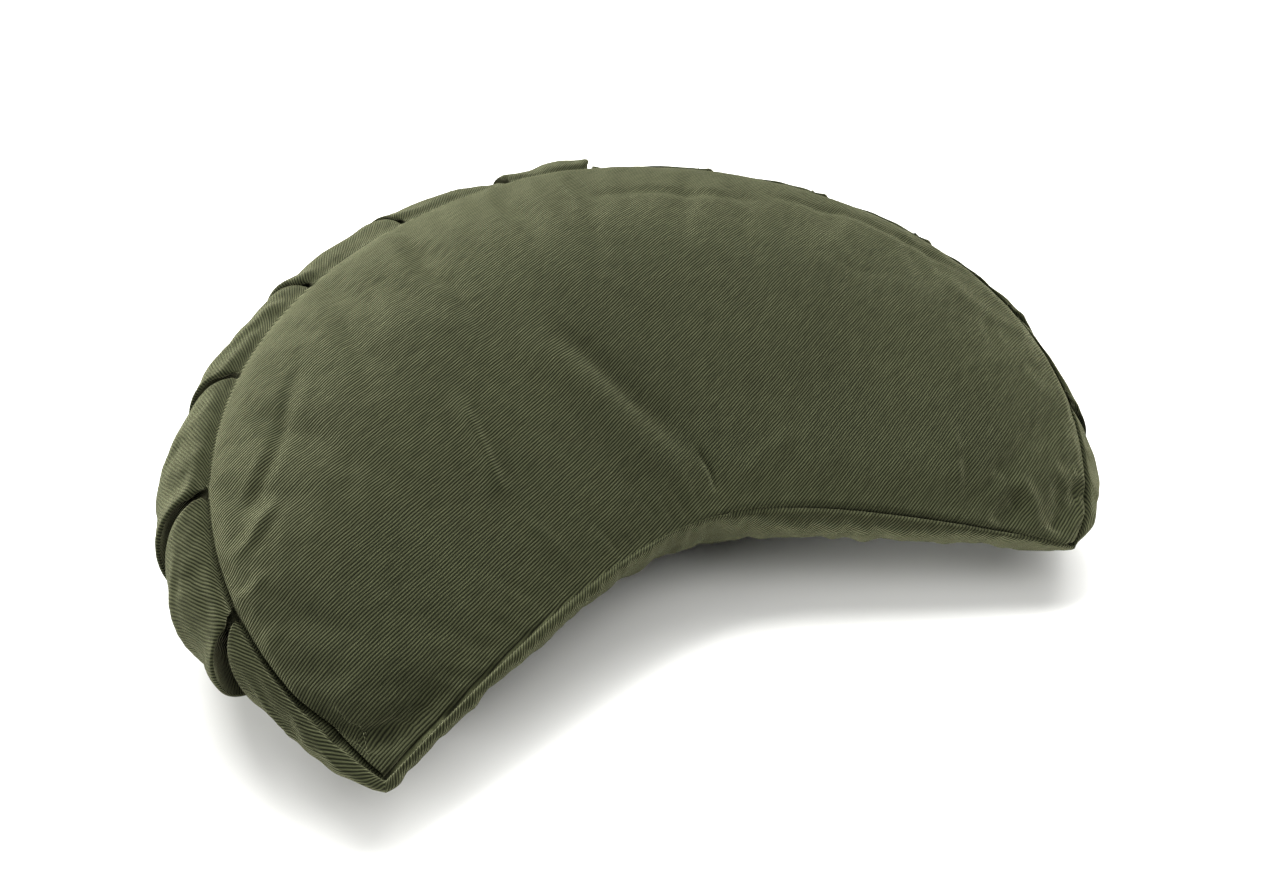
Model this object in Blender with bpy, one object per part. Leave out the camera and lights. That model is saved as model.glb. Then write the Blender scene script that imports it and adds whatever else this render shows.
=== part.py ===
"""Crescent meditation cushion, about 46 cm wide, filled and sewn from cotton twill.

One filled solid: a crescent top panel, the same panel underneath, a plain band round
the hollow front and one long band round the back, laid in pleats and sewn in between.
Metres, +Z up. The cushion lies on z = 0 with its tips towards -Y and its tall back
towards +Y, and the origin is under the middle of its box.
"""

import bisect
import math

import bmesh
import bpy
from mathutils import Vector

# The top seam, from the middle of the back round to each tip
SEAM_HALF_WIDTH = 0.210
SEAM_HALF_DEPTH = 0.172
SEAM_TURN = math.radians(127.4)
BACK_HEIGHT = 0.134
TIP_HEIGHT = 0.030
SLOPE_POWER = 1.63

# The hollow front seam
HOLLOW_DEPTH = 0.062
HOLLOW_ROUND = 0.35
HOLLOW_HEIGHT = 0.056

# The crown of the top, highest behind the middle and gone at the tips
CROWN = 0.016
CROWN_SKEW = 0.75
CROWN_ROUND = 0.8
CROWN_END_POWER = 2.2

# How the fill has settled along the cushion, from the left tip to the right tip.
# swell: how far the back band stands out past its seams. round: small where it is
# fullest close under the upper seam, large where it is fullest halfway down.
# front: how far the front band stands out, the same as the back band at both tips.
FILL = (
    {"at": -1.00, "swell": 0.008, "round": 0.50, "front": 0.008},
    {"at": -0.90, "swell": 0.011, "round": 0.50, "front": 0.006},
    {"at": -0.80, "swell": 0.018, "round": 0.50, "front": 0.007},
    {"at": -0.70, "swell": 0.024, "round": 0.45, "front": 0.007},
    {"at": -0.50, "swell": 0.026, "round": 0.38, "front": 0.009},
    {"at": -0.38, "swell": 0.024, "round": 0.36, "front": 0.008},
    {"at": -0.22, "swell": 0.028, "round": 0.36, "front": 0.007},
    {"at": 0.00, "swell": 0.030, "round": 0.50, "front": 0.002},
    {"at": 0.25, "swell": 0.024, "round": 0.90, "front": 0.005},
    {"at": 0.50, "swell": 0.014, "round": 1.10, "front": 0.006},
    {"at": 0.75, "swell": 0.011, "round": 0.90, "front": 0.006},
    {"at": 0.90, "swell": 0.012, "round": 0.70, "front": 0.004},
    {"at": 1.00, "swell": 0.002, "round": 0.60, "front": 0.002},
)
DROP_POWER = 1.4

# The lower seam: how far each wall runs in under the upper seam, and its height
BACK_TUCK = 0.010
FRONT_TUCK = 0.030
TIP_TUCK = 0.030
TUCK_POWER = 2.0
TIP_BLEND = 0.30
LOWER_SEAM_HEIGHT = 0.011
FOOT_MARGIN = 0.028
FOOT_ROUND = 1.8

# One row for each pleat, from the middle of the back outwards. left and right: how far
# along the seam it is sewn on each side. stand: how far its edge stands off the wall.
# gap: from the edge to the shoulder of the next section. tuck: how far the cloth goes
# back under the edge. deep: how far down the fold reaches.
PLEATS = (
    {"left": 0.025, "right": 0.023, "stand": 0.0065, "gap": 0.0035, "tuck": 0.007, "deep": 0.012},
    {"left": 0.088, "right": 0.088, "stand": 0.0030, "gap": 0.0035, "tuck": 0.007, "deep": 0.011},
    {"left": 0.150, "right": 0.154, "stand": 0.0026, "gap": 0.0040, "tuck": 0.008, "deep": 0.012},
    {"left": 0.212, "right": 0.216, "stand": 0.0024, "gap": 0.0040, "tuck": 0.009, "deep": 0.013},
    {"left": 0.274, "right": 0.280, "stand": 0.0030, "gap": 0.0052, "tuck": 0.010, "deep": 0.015},
    {"left": 0.331, "right": 0.336, "stand": 0.0026, "gap": 0.0068, "tuck": 0.010, "deep": 0.016},
)

# The lines of cloth in one fold, in the order that the cloth takes. back: how many tucks
# the line lies back under the edge. past: how many gaps it lies past the edge. down: its
# share of the fold's depth.
FOLD_LINES = (
    {"back": 0.50, "past": 0.00, "down": 0.00},
    {"back": 0.00, "past": 0.00, "down": 0.14},
    {"back": 0.55, "past": 0.00, "down": 0.36},
    {"back": 1.00, "past": 0.00, "down": 0.90},
    {"back": 0.00, "past": 0.30, "down": 0.90},
    {"back": 0.00, "past": 1.05, "down": 0.20},
)

# All the lines of a fold are sewn flat within this width of the seam. The share of its
# depth that a fold has at a row is the row's own share of the wall's bulge to a power.
FOLD_FLAT = 0.0048
FOLD_OPENING = 0.28
CENTRE_DIP = 0.45

# How far the folds lean towards their tip halfway down the wall, and where along the
# seam that begins and starts to fade
LEAN = 0.011
LEAN_START = 0.060
LEAN_FADE = 0.300

# Lines of cloth in each section between two pleats, and from the last pleat to the tip
SECTION_STEPS = 4
END_STEPS = 7

# Rows of points across each face, as shares of the way from one seam to the next
TOP_ROWS = (0.0, 0.03, 0.09, 0.19, 0.32, 0.47, 0.62, 0.77, 0.89, 0.96, 1.0)
WALL_ROWS = (0.0, 0.025, 0.07, 0.18, 0.32, 0.48, 0.65, 0.81, 0.93, 1.0)
BASE_ROWS = (0.0, 0.06, 0.18, 0.5, 0.82, 0.94, 1.0)

SEAM_STEPS = 400
SLOPE_STEP = 0.02
MERGE = 0.00001
SHARP_ANGLE = math.radians(50.0)
CLOTH_COLOUR = (0.066, 0.070, 0.040, 1.0)
CLOTH_ROUGHNESS = 0.92


def clear_scene():
    """Start from an empty file."""
    for item in list(bpy.data.objects):
        bpy.data.objects.remove(item, do_unlink=True)


def outer_seam(s):
    """Top seam of the back at s, from -1 at the left tip to 1 at the right tip."""
    turn = s * SEAM_TURN
    slope = 1.0 - abs(s) ** SLOPE_POWER
    return Vector((
        SEAM_HALF_WIDTH * math.sin(turn),
        SEAM_HALF_DEPTH * (math.cos(turn) - 1.0),
        TIP_HEIGHT + (BACK_HEIGHT - TIP_HEIGHT) * slope,
    ))


def inner_seam(s):
    """Top seam of the hollow front at s."""
    tip = outer_seam(1.0)
    fall = math.hypot(s, HOLLOW_ROUND) - HOLLOW_ROUND
    fall /= math.hypot(1.0, HOLLOW_ROUND) - HOLLOW_ROUND
    return Vector((
        tip.x * s,
        tip.y + HOLLOW_DEPTH * (1.0 - fall),
        TIP_HEIGHT + (HOLLOW_HEIGHT - TIP_HEIGHT) * (1.0 - s * s),
    ))


def outward(s):
    """Level direction out of the back wall at s."""
    turn = s * SEAM_TURN
    return Vector((
        SEAM_HALF_DEPTH * math.sin(turn),
        SEAM_HALF_WIDTH * math.cos(turn),
        0.0,
    )).normalized()


def inward(s):
    """Level direction out of the front wall at s, towards the hollow."""
    step = 0.01
    along = inner_seam(min(s + step, 1.0)) - inner_seam(max(s - step, -1.0))
    return Vector((along.y, -along.x, 0.0)).normalized()


def seam_lengths():
    """Length along the back seam at even steps of s, zero in the middle."""
    steps = [2.0 * i / SEAM_STEPS - 1.0 for i in range(SEAM_STEPS + 1)]
    lengths = [0.0]
    for low, high in zip(steps, steps[1:]):
        run = (outer_seam(high) - outer_seam(low)).xy.length
        lengths.append(lengths[-1] + run)
    middle = lengths[SEAM_STEPS // 2]
    return steps, [length - middle for length in lengths]


STEPS, LENGTHS = seam_lengths()


def at_length(length):
    """The s of a point that lies this far along the back seam from its middle."""
    length = min(max(length, LENGTHS[0]), LENGTHS[-1])
    i = min(max(bisect.bisect_right(LENGTHS, length), 1), SEAM_STEPS)
    low, high = LENGTHS[i - 1], LENGTHS[i]
    part = (length - low) / (high - low)
    return STEPS[i - 1] + part * (STEPS[i] - STEPS[i - 1])


def smooth(part):
    """Ease from 0 to 1."""
    part = min(max(part, 0.0), 1.0)
    return part * part * (3.0 - 2.0 * part)


def plain_column(length, rise):
    """A line of cloth that runs straight down the wall, rise out from its swell."""
    return {"sewn": length, "open": length, "home": length, "out": rise}


def fold_columns(pleat, place):
    """The lines of cloth of a pleat that is sewn at place."""
    columns = []
    for i, line in enumerate(FOLD_LINES):
        across = i / (len(FOLD_LINES) - 1) - 0.5
        columns.append({
            "sewn": place + FOLD_FLAT * across,
            "open": place + line["past"] * pleat["gap"] - line["back"] * pleat["tuck"],
            "home": place,
            "out": pleat["stand"] - line["down"] * pleat["deep"],
        })
    return columns


def section_columns(start, end, count):
    """Lines of cloth between two others, easing from the rise of one to that of the next."""
    columns = []
    for i in range(1, count):
        part = i / count
        length = start["sewn"] + part * (end["sewn"] - start["sewn"])
        column = plain_column(length, start["out"] + smooth(part) * (end["out"] - start["out"]))
        column["open"] = start["open"] + part * (end["open"] - start["open"])
        columns.append(column)
    return columns


def side_columns(side):
    """Lines of cloth down the back wall, from the middle of the back to one tip."""
    name = "left" if side < 0 else "right"
    columns = [plain_column(0.0, PLEATS[0]["stand"] * (1.0 - CENTRE_DIP))]
    for pleat in PLEATS:
        fold = fold_columns(pleat, pleat[name])
        columns += section_columns(columns[-1], fold[0], SECTION_STEPS) + fold
    tip = plain_column(LENGTHS[-1], 0.0)
    columns += section_columns(columns[-1], tip, END_STEPS) + [tip]
    for column in columns:
        for key in ("sewn", "open", "home"):
            column[key] *= side
    return columns


def all_columns():
    """Lines of cloth from the left tip to the right tip."""
    left = side_columns(-1.0)
    return left[:0:-1] + side_columns(1.0)


def tip_share(s):
    """How far a wall at s has turned into the corner of its tip, from 0 to 1."""
    return smooth((abs(s) - 1.0 + TIP_BLEND) / TIP_BLEND)


def tip_outward(s):
    """Level direction out of the corner where the two walls meet."""
    side = math.copysign(1.0, s)
    return (outward(side) + inward(side)).normalized()


def fill_at(s, name):
    """A value of the fill at s, eased from one row of its table to the next."""
    after = next((i for i, row in enumerate(FILL) if row["at"] >= s), len(FILL) - 1)
    low, high = FILL[max(after - 1, 0)], FILL[max(after, 1)]
    return low[name] + smooth((s - low["at"]) / (high["at"] - low["at"])) * (high[name] - low[name])


def wall_frame(s, top, away, tuck, fullness):
    """Upper and lower seam points, way out and fullness of a wall that starts at top."""
    share = tip_share(s)
    tip_away = tip_outward(s)
    low = top - (away * tuck).lerp(tip_away * TIP_TUCK, share)
    low.z = LOWER_SEAM_HEIGHT
    return top, low, away.lerp(tip_away, share).normalized(), fullness


def back_frame(s):
    """Frame of the back wall at s."""
    return wall_frame(s, outer_seam(s), outward(s), BACK_TUCK, fill_at(s, "swell"))


def front_frame(s):
    """Frame of the front wall at s."""
    return wall_frame(s, inner_seam(s), inward(s), FRONT_TUCK, fill_at(s, "front"))


def swell(s, row):
    """Share of its full swell that a wall has at row."""
    if not 0.0 < row < 1.0:
        return 0.0
    return math.sin(math.pi * row) ** fill_at(s, "round")


def wall_path(s, frame, row):
    """Point of a smooth wall at row, from 0 at its upper seam to 1 at its lower one."""
    top, low, away, full = frame
    point = top.lerp(low, row ** TUCK_POWER)
    point.z = top.z + (low.z - top.z) * row ** DROP_POWER
    return point + away * (full * swell(s, row))


def wall_normal(s, frame, row):
    """Direction straight out of a smooth wall at row."""
    after = wall_path(s, frame, min(row + SLOPE_STEP, 1.0))
    before = wall_path(s, frame, max(row - SLOPE_STEP, 0.0))
    away = frame[2]
    return Vector((away.y, -away.x, 0.0)).cross(after - before).normalized()


def lean_at(length):
    """How far the cloth at this length along the seam leans towards its tip."""
    along = abs(length)
    fade = 1.0 - smooth((along - LEAN_FADE) / (LENGTHS[-1] - LEAN_FADE))
    return math.copysign(LEAN * smooth(along / LEAN_START) * fade, length)


def top_point(column, row):
    """Point of the top panel, row 0 on the back seam and 1 on the front seam."""
    length = column["sewn"] if row == 0.0 else column["home"]
    s = at_length(length)
    point = outer_seam(s).lerp(inner_seam(s), row)
    dome = (4.0 * row * (1.0 - row)) ** CROWN_ROUND * (1.0 + CROWN_SKEW * (1.0 - 2.0 * row))
    point.z += CROWN * dome * (1.0 - abs(s) ** CROWN_END_POWER)
    return point


def wall_point(column, row):
    """Point of the pleated band, row 0 on the upper seam and 1 on the lower one."""
    down = math.sin(math.pi * row) if 0.0 < row < 1.0 else 0.0
    opened = down ** FOLD_OPENING
    shift = (column["open"] - column["sewn"]) * opened + lean_at(column["sewn"]) * down
    s = at_length(column["sewn"] + shift)
    frame = back_frame(s)
    return wall_path(s, frame, row) + wall_normal(s, frame, row) * (column["out"] * opened)


def front_point(column, row):
    """Point of the plain front band, row 0 on the upper seam and 1 on the lower one."""
    s = at_length(column["home"])
    return wall_path(s, front_frame(s), row)


def base_point(column, row):
    """Point of the bottom panel, row 0 on the lower back seam and 1 on the front one."""
    length = column["sewn"] if row == 0.0 else column["home"]
    back = back_frame(at_length(length))[1]
    front = front_frame(at_length(column["home"]))[1]
    point = back.lerp(front, row)
    near = min(row, 1.0 - row) * (front - back).length / FOOT_MARGIN
    point.z *= max(1.0 - near, 0.0) ** FOOT_ROUND
    return point


def add_face(bm, columns, rows, place):
    """Add one face of the cushion as a grid whose points are put in place by a rule."""
    before = len(bm.verts)
    across, down = len(columns) - 1, len(rows) - 1
    bmesh.ops.create_grid(bm, x_segments=across, y_segments=down, size=1.0)
    bm.verts.ensure_lookup_table()
    for index in range(before, len(bm.verts)):
        j, i = divmod(index - before, across + 1)
        bm.verts[index].co = place(columns[i], rows[j])


def make_cushion():
    """Sew the four faces into one closed, filled body."""
    columns = all_columns()
    bm = bmesh.new()
    add_face(bm, columns, TOP_ROWS, top_point)
    add_face(bm, columns, WALL_ROWS, wall_point)
    add_face(bm, columns, WALL_ROWS, front_point)
    add_face(bm, columns, BASE_ROWS, base_point)
    bmesh.ops.remove_doubles(bm, verts=bm.verts, dist=MERGE)
    bmesh.ops.dissolve_degenerate(bm, edges=bm.edges, dist=MERGE)
    bmesh.ops.triangulate(bm, faces=bm.faces, quad_method="SHORT_EDGE")
    bmesh.ops.recalc_face_normals(bm, faces=bm.faces)
    centre_on_floor(bm)
    mesh = bpy.data.meshes.new("cushion")
    bm.to_mesh(mesh)
    bm.free()
    mesh.shade_smooth()
    mesh.set_sharp_from_angle(angle=SHARP_ANGLE)
    cushion = bpy.data.objects.new("cushion", mesh)
    bpy.context.scene.collection.objects.link(cushion)
    return cushion


def centre_on_floor(bm):
    """Move the body so that the origin is under the middle of its box."""
    low = Vector([min(v.co[i] for v in bm.verts) for i in range(3)])
    high = Vector([max(v.co[i] for v in bm.verts) for i in range(3)])
    middle = (low + high) / 2.0
    bmesh.ops.translate(bm, verts=bm.verts, vec=(-middle.x, -middle.y, -low.z))


def cotton_twill():
    """Olive cotton twill, matt and woven."""
    material = bpy.data.materials.new("Olive cotton twill")
    material.use_nodes = True
    shader = material.node_tree.nodes["Principled BSDF"]
    shader.inputs["Base Color"].default_value = CLOTH_COLOUR
    shader.inputs["Roughness"].default_value = CLOTH_ROUGHNESS
    return material


def main():
    clear_scene()
    cushion = make_cushion()
    cushion.data.materials.append(cotton_twill())


main()
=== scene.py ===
"""Crescent meditation cushion: its cover, made as sewn and filled cloth, and its stage.

The cover is one closed body of four panels: the crescent top, the long band that is
laid in pleats round the back, the plain band in the hollow front, and the base. Metres,
+Z up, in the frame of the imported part: tips towards -Y, tall back towards +Y.
"""

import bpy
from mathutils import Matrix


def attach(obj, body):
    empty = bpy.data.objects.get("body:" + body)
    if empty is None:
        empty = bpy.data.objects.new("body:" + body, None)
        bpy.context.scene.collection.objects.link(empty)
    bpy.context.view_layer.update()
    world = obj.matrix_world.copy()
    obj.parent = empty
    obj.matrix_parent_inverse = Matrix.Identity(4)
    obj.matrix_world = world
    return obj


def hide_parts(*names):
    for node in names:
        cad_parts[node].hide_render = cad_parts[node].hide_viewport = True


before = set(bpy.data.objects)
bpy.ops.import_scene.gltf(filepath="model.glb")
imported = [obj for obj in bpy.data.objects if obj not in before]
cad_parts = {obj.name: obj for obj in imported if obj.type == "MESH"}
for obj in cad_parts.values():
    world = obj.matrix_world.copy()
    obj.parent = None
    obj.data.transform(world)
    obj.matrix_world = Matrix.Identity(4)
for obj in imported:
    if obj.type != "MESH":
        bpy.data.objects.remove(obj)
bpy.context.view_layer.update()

import bisect
import math

import bmesh
import bpy
import numpy as np
from bpy.props import FloatProperty, FloatVectorProperty, PointerProperty
from mathutils import Matrix, Vector, noise

bl_info = {
    "name": "Crescent meditation cushion",
    "version": (1, 0, 0),
    "blender": (4, 5, 0),
    "location": "View3D > Sidebar > Cushion",
    "description": "Sews and fills a crescent floor cushion with a pleated back band",
    "category": "Object",
}

# The seams are worked out from the middle of the back seam, which lies here
SEAM_MIDDLE = Vector((0.00579, 0.12424, 0.0))

# The top seam, from the middle of the back round to each tip
SEAM_HALF_WIDTH = 0.210
SEAM_HALF_DEPTH = 0.172
SEAM_TURN = math.radians(127.4)
BACK_HEIGHT = 0.134
TIP_HEIGHT = 0.030
SLOPE_POWER = 1.63
SEAM_STEPS = 400

# How far the corner of the right tip is drawn back, and where along the seams that begins
RIGHT_TIP_PULL = Vector((-0.0018, 0.0042, 0.0))
RIGHT_TIP_START = 0.94

# The seam of the hollow front
HOLLOW_DEPTH = 0.062
HOLLOW_ROUND = 0.35
HOLLOW_HEIGHT = 0.056

# The crown of the top, highest behind the middle and gone at the tips
CROWN = 0.016
CROWN_SKEW = 0.75
CROWN_ROUND = 0.8
CROWN_END_POWER = 2.2

# How the fill has settled along the cushion, from the left tip to the right tip.
# swell: how far the back band stands out past its seams. round: small where it is
# fullest close under the upper seam, large where it is fullest halfway down.
# front: how far the front band stands out, the same as the back band at both tips.
# tuck: how far the front band runs in under the top. groove: share of its full depth
# to which the seams are drawn in.
FILL = (
    {"at": -1.00, "swell": 0.0075, "round": 0.50, "front": 0.0075, "tuck": 0.030, "groove": 0.8},
    {"at": -0.96, "swell": 0.0105, "round": 0.50, "front": 0.0055, "tuck": 0.032, "groove": 1.0},
    {"at": -0.88, "swell": 0.0098, "round": 0.50, "front": 0.0060, "tuck": 0.034, "groove": 1.0},
    {"at": -0.80, "swell": 0.0185, "round": 0.50, "front": 0.0070, "tuck": 0.037, "groove": 1.0},
    {"at": -0.74, "swell": 0.0230, "round": 0.45, "front": 0.0075, "tuck": 0.038, "groove": 1.0},
    {"at": -0.60, "swell": 0.0258, "round": 0.40, "front": 0.0075, "tuck": 0.039, "groove": 0.7},
    {"at": -0.50, "swell": 0.0252, "round": 0.38, "front": 0.0072, "tuck": 0.039, "groove": 0.3},
    {"at": -0.40, "swell": 0.0248, "round": 0.36, "front": 0.0065, "tuck": 0.038, "groove": 0.2},
    {"at": -0.22, "swell": 0.0310, "round": 0.36, "front": 0.0045, "tuck": 0.036, "groove": 0.2},
    {"at": -0.10, "swell": 0.0260, "round": 0.46, "front": 0.0020, "tuck": 0.034, "groove": 0.3},
    {"at": 0.00, "swell": 0.0300, "round": 0.50, "front": 0.0015, "tuck": 0.032, "groove": 0.6},
    {"at": 0.05, "swell": 0.0300, "round": 0.50, "front": 0.0025, "tuck": 0.031, "groove": 0.8},
    {"at": 0.07, "swell": 0.0240, "round": 1.50, "front": 0.0040, "tuck": 0.030, "groove": 1.0},
    {"at": 0.25, "swell": 0.0215, "round": 1.30, "front": 0.0085, "tuck": 0.028, "groove": 1.6},
    {"at": 0.50, "swell": 0.0130, "round": 1.20, "front": 0.0085, "tuck": 0.026, "groove": 1.8},
    {"at": 0.75, "swell": 0.0095, "round": 0.90, "front": 0.0045, "tuck": 0.027, "groove": 1.8},
    {"at": 0.90, "swell": 0.0110, "round": 0.70, "front": 0.0015, "tuck": 0.030, "groove": 1.4},
    {"at": 0.96, "swell": 0.0100, "round": 0.65, "front": 0.0015, "tuck": 0.030, "groove": 1.1},
    {"at": 1.00, "swell": 0.0035, "round": 0.60, "front": 0.0035, "tuck": 0.030, "groove": 0.8},
)

# How late a wall falls away from its upper seam
DROP_POWER = 1.4

# The lower seam: how far the back band and the tips run in under the upper seam, how late
# down the wall they do so, and the seam's height
BACK_TUCK = 0.010
TIP_TUCK = 0.030
TUCK_POWER = 2.0
LOWER_SEAM_HEIGHT = 0.011

# The share of the seam over which a wall's foot, and then the wall itself, turns into the tip
TIP_BLEND = 0.30
TIP_TURN = 0.014

# How far in from its seams the base comes down to the floor, and how round it is there
FOOT_MARGIN = 0.028
FOOT_ROUND = 1.8

# Steps of s and of row over which the slope of a seam and of a wall is measured
SEAM_SLOPE_STEP = 0.01
WALL_SLOPE_STEP = 0.02

# One row for each pleat, from the middle of the back outwards. left and right: how far
# along the seam it is sewn on each side. stand: how far its rolled edge stands off the
# band. gap: from the edge to the shoulder of the next section. tuck: how far the cloth
# goes back under the edge. deep: how far down the fold reaches. drop: how much lower
# than the edge the next section starts.
PLEATS = (
    {"left": 0.025, "right": 0.023, "stand": 0.0033, "gap": 0.0024,
     "tuck": 0.009, "deep": 0.014, "drop": 0.0032},
    {"left": 0.088, "right": 0.088, "stand": 0.0030, "gap": 0.0024,
     "tuck": 0.010, "deep": 0.014, "drop": 0.0010},
    {"left": 0.150, "right": 0.154, "stand": 0.0026, "gap": 0.0034,
     "tuck": 0.012, "deep": 0.016, "drop": 0.0010},
    {"left": 0.212, "right": 0.216, "stand": 0.0024, "gap": 0.0048,
     "tuck": 0.016, "deep": 0.020, "drop": 0.0010},
    {"left": 0.274, "right": 0.280, "stand": 0.0030, "gap": 0.0068,
     "tuck": 0.020, "deep": 0.024, "drop": 0.0012},
    {"left": 0.331, "right": 0.336, "stand": 0.0026, "gap": 0.0074,
     "tuck": 0.020, "deep": 0.024, "drop": 0.0012},
)

# The middle section stands off the band by this much more at its right edge, and by this
# much less at its left edge
CENTRE_TILT = 0.0010

# A rolled edge: its radius, how far the cloth before it lies below its crest, and half the
# width of seam into which its layers are sewn
FOLD_RADIUS = 0.0011
FOLD_LIP = 0.0012
FOLD_FLAT = 0.0024

# How soon below the seam a fold opens, and its gap: small for at once
FOLD_OPENING = 0.22
GAP_OPENING = 0.75

# The share of a fold's depth by which the shade painted into its cloth's colour is at its full darkness
FOLD_SHADE_REACH = 0.3

# The share of its width that a section takes to come out to its full stand
EMERGE = 0.45

# How far the folds lean towards their tip halfway down the band, and where along the
# seam that begins and starts to fade
LEAN = 0.014
LEAN_BEND = 0.6
LEAN_START = 0.060
LEAN_FADE = 0.335

# The lines of cloth behind a rolled edge, after it has turned under. back: share of the
# tuck that the line lies back under the edge. past: share of the gap that it lies past
# it. down: its share of the fold's depth.
UNDER_LINES = (
    {"back": 0.40, "past": 0.00, "down": 0.24},
    {"back": 0.80, "past": 0.00, "down": 0.40},
    {"back": 1.00, "past": 0.00, "down": 0.66},
    {"back": 0.90, "past": 0.00, "down": 0.94},
    {"back": 0.40, "past": 0.00, "down": 1.00},
    {"back": 0.08, "past": 0.35, "down": 0.86},
    {"back": 0.00, "past": 0.72, "down": 0.50},
    {"back": 0.00, "past": 0.92, "down": 0.22},
    {"back": 0.00, "past": 1.15, "down": 0.10},
    {"back": 0.00, "past": 1.60, "down": 0.06},
)

# Points of cloth across each panel, as shares of the way from one seam to the next
EDGE_ROWS = (0.0, 0.006, 0.015, 0.034, 0.062)
TOP_STEPS = 34
WALL_STEPS = 24
FRONT_STEPS = 8
BASE_STEPS = 8
COLUMN_STEP = 0.0045
ROLL_STEPS = 4

# How near two points lie that are sewn together: in a seam, and where the front band's few
# rows meet the back band's many at a tip
MERGE = 0.00001
TIP_STITCH = 0.0005

# Lines of cloth round the corner of a tip, by their distance from it
TIP_LINES = (0.0044, 0.0034, 0.0025, 0.0017, 0.0010, 0.0004)

# The direction of the twill's lines on each panel, from the panel's own long side
TOP_WALE = math.radians(28.0)
BAND_WALE = math.radians(36.0)
FRONT_WALE = math.radians(-48.0)

# Creases of the top, placed from the middle of the back seam. height: above the panel, or below it where it
# is negative. width: from the line to where it has mostly gone.
# path: points that its line runs through.
CREASES = (
    {"height": 0.0023, "width": 0.013, "path": (
        (-0.061, -0.107), (-0.053, -0.124), (-0.040, -0.142), (-0.028, -0.162), (-0.017, -0.182),
        (-0.005, -0.200), (0.002, -0.208))},
    {"height": -0.0025, "width": 0.010, "path": (
        (-0.045, -0.113), (-0.029, -0.133), (-0.019, -0.151), (-0.009, -0.168), (0.001, -0.184),
        (0.006, -0.196))},
    {"height": -0.0030, "width": 0.003, "path": ((0.005, -0.185), (0.008, -0.197), (0.007, -0.208))},
    {"height": 0.0010, "width": 0.005, "path": ((0.012, -0.206), (0.033, -0.198), (0.060, -0.191))},
    {"height": 0.0028, "width": 0.0045, "path": (
        (-0.096, -0.138), (-0.094, -0.154), (-0.092, -0.169), (-0.091, -0.183), (-0.086, -0.194))},
    {"height": 0.0008, "width": 0.004, "path": ((-0.086, -0.197), (-0.079, -0.207), (-0.068, -0.223))},
    {"height": -0.0012, "width": 0.0045, "path": (
        (-0.154, -0.093), (-0.161, -0.109), (-0.169, -0.126), (-0.176, -0.144), (-0.188, -0.160),
        (-0.204, -0.176))},
    {"height": 0.0006, "width": 0.005, "path": ((-0.180, -0.141), (-0.189, -0.153), (-0.197, -0.162))},
    {"height": 0.0015, "width": 0.0035, "path": (
        (-0.176, -0.165), (-0.188, -0.173), (-0.195, -0.181), (-0.207, -0.184))},
    {"height": -0.0003, "width": 0.006, "path": ((-0.180, -0.173), (-0.187, -0.180), (-0.194, -0.187))},
    {"height": -0.0006, "width": 0.006, "path": ((-0.132, -0.108), (-0.132, -0.122), (-0.132, -0.138))},
    {"height": -0.0006, "width": 0.006, "path": ((-0.147, -0.155), (-0.150, -0.167), (-0.151, -0.179))},
    {"height": 0.0007, "width": 0.003, "path": ((-0.188, -0.196), (-0.198, -0.199), (-0.208, -0.201))},
    {"height": 0.0006, "width": 0.003, "path": ((-0.188, -0.217), (-0.196, -0.220), (-0.202, -0.223))},
    {"height": -0.0046, "width": 0.008, "path": (
        (-0.194, -0.238), (-0.181, -0.255), (-0.171, -0.262), (-0.160, -0.264), (-0.146, -0.260),
        (-0.128, -0.251))},
    {"height": -0.0013, "width": 0.005, "path": (
        (0.000, -0.037), (0.039, -0.039), (0.069, -0.048), (0.110, -0.061))},
    {"height": -0.0016, "width": 0.004, "path": (
        (0.095, -0.047), (0.121, -0.061), (0.144, -0.072), (0.157, -0.087), (0.175, -0.105),
        (0.187, -0.122), (0.200, -0.136))},
    {"height": 0.0008, "width": 0.008, "path": (
        (0.172, -0.118), (0.178, -0.151), (0.194, -0.166), (0.204, -0.182))},
    {"height": -0.0004, "width": 0.003, "path": ((0.116, -0.110), (0.128, -0.123), (0.155, -0.128))},
    {"height": 0.0022, "width": 0.006, "path": ((0.149, -0.240), (0.152, -0.252), (0.147, -0.266))},
    {"height": -0.0026, "width": 0.007, "path": ((0.150, -0.249), (0.141, -0.253), (0.127, -0.258))},
    {"height": -0.0026, "width": 0.006, "path": ((0.162, -0.250), (0.173, -0.255), (0.186, -0.252))},
    {"height": -0.0020, "width": 0.006, "path": ((0.170, -0.254), (0.162, -0.260), (0.155, -0.268))},
    {"height": -0.0010, "width": 0.005, "path": ((0.140, -0.232), (0.144, -0.238), (0.148, -0.245))},
    {"height": -0.0010, "width": 0.005, "path": ((0.172, -0.242), (0.180, -0.244), (0.188, -0.244))},
    {"height": 0.0014, "width": 0.004, "path": ((0.131, -0.206), (0.125, -0.226), (0.116, -0.246))},
    {"height": -0.0013, "width": 0.005, "path": ((0.128, -0.221), (0.126, -0.232), (0.118, -0.245))},
)

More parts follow.
